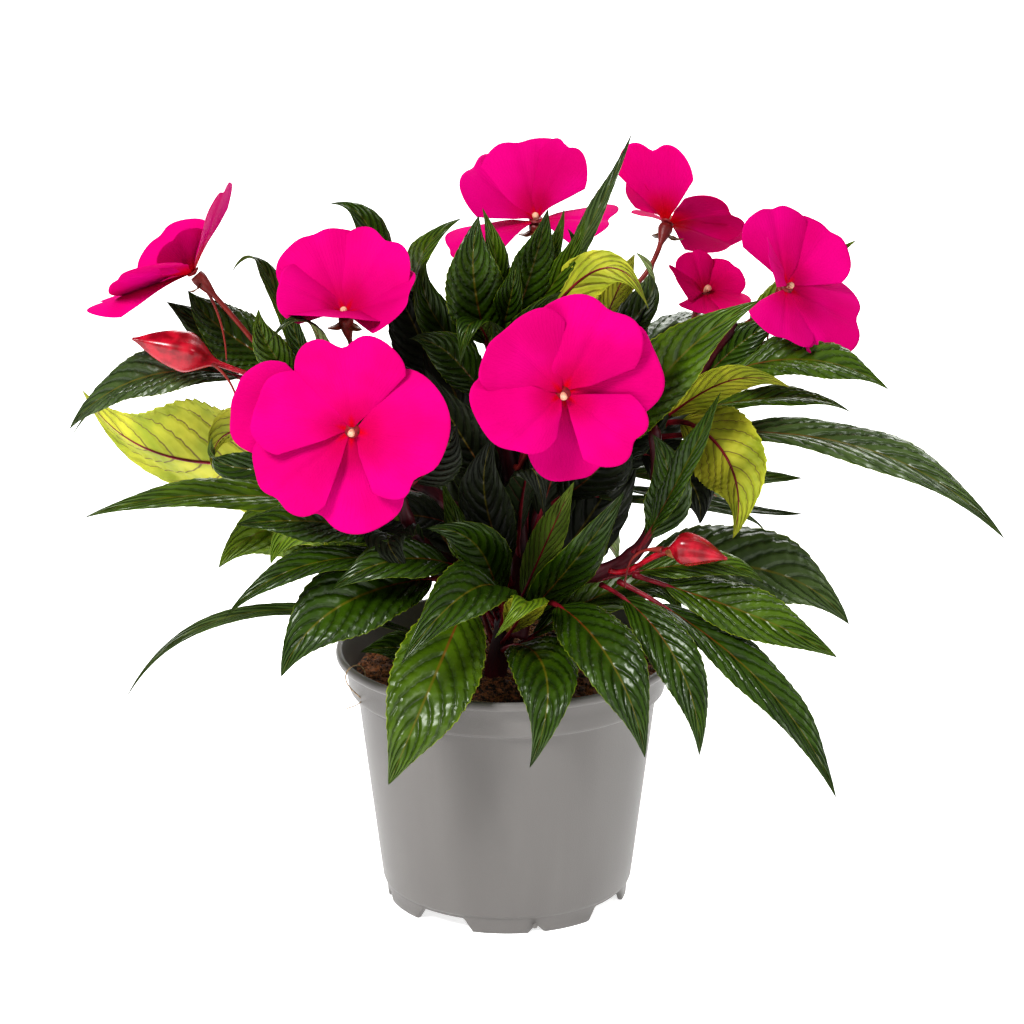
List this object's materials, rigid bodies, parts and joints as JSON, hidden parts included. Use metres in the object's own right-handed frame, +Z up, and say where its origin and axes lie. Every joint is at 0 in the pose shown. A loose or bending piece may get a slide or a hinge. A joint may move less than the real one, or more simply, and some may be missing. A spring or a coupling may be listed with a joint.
{
  "type": "potted new guinea impatiens",
  "caption": "New Guinea impatiens with magenta flowers, red stems and dark pointed leaves, growing in peat in a grey plastic grower's pot.",
  "frame": {"origin": "On the pot's axis at the ground, under the middle of the whole plant's box.", "axes": "+Z up along the pot's axis, -Y towards the front of the plant where two flowers face out, +X to its right, along its greatest spread."},
  "size_m": [0.351, 0.1835, 0.296],
  "materials": {
    "pot_plastic": "moulded grey, slightly satin",
    "peat": "crumbly moist peat",
    "stem": "smooth fleshy crimson",
    "leaf": "glossy dark green with sunken veins",
    "petal": "velvety magenta",
    "bud": "glossy crimson"
  },
  "bodies": {
    "root": {"bud_left": "bud", "bud_right": "bud", "flower_1_petal_left": "petal", "flower_1_petal_lower_left": "petal", "flower_1_petal_lower_right": "petal", "flower_1_petal_right": "petal", "flower_1_petal_top": "petal", "flower_1_stalk": "stem", "flower_2_petal_left": "petal", "flower_2_petal_lower_left": "petal", "flower_2_petal_lower_right": "petal", "flower_2_petal_right": "petal", "flower_2_petal_top": "petal", "flower_2_stalk": "stem", "flower_3": "petal", "flower_4": "petal", "flower_5": "petal", "flower_6": "petal", "flower_7": "petal", "flower_8": "petal", "leaf_back_centre": "leaf", "leaf_back_left": "leaf", "leaf_back_low_left": "leaf", "leaf_back_low_right": "leaf", "leaf_back_right": "leaf", "leaf_beside_flower_2": "leaf", "leaf_front_left_short": "leaf", "leaf_left_broad_low": "leaf", "leaf_left_drooping": "leaf", "leaf_left_hanging": "leaf", "leaf_left_low": "leaf", "leaf_left_pointing": "leaf", "leaf_left_thin_arched": "leaf", "leaf_left_translucent": "leaf", "leaf_left_upper": "leaf", "leaf_over_rim_centre": "leaf", "leaf_over_rim_left": "leaf", "leaf_over_rim_right": "leaf", "leaf_right_broad": "leaf", "leaf_right_folded": "leaf", "leaf_right_hanging_long": "leaf", "leaf_right_hanging_slim": "leaf", "leaf_right_longest": "leaf", "leaf_right_low": "leaf", "leaf_right_underside": "leaf", "leaf_right_upper": "leaf", "leaf_top_centre": "leaf", "leaf_top_right": "leaf", "leaf_top_tall": "leaf", "leaf_under_flower_1": "leaf", "main_stem": "stem", "pot": "pot_plastic", "shoot_back": "stem", "shoot_back_left": "stem", "shoot_front_left": "stem", "shoot_front_right": "stem", "shoot_left": "stem", "shoot_right": "stem", "soil": "peat"}
  },
  "joints": []
}
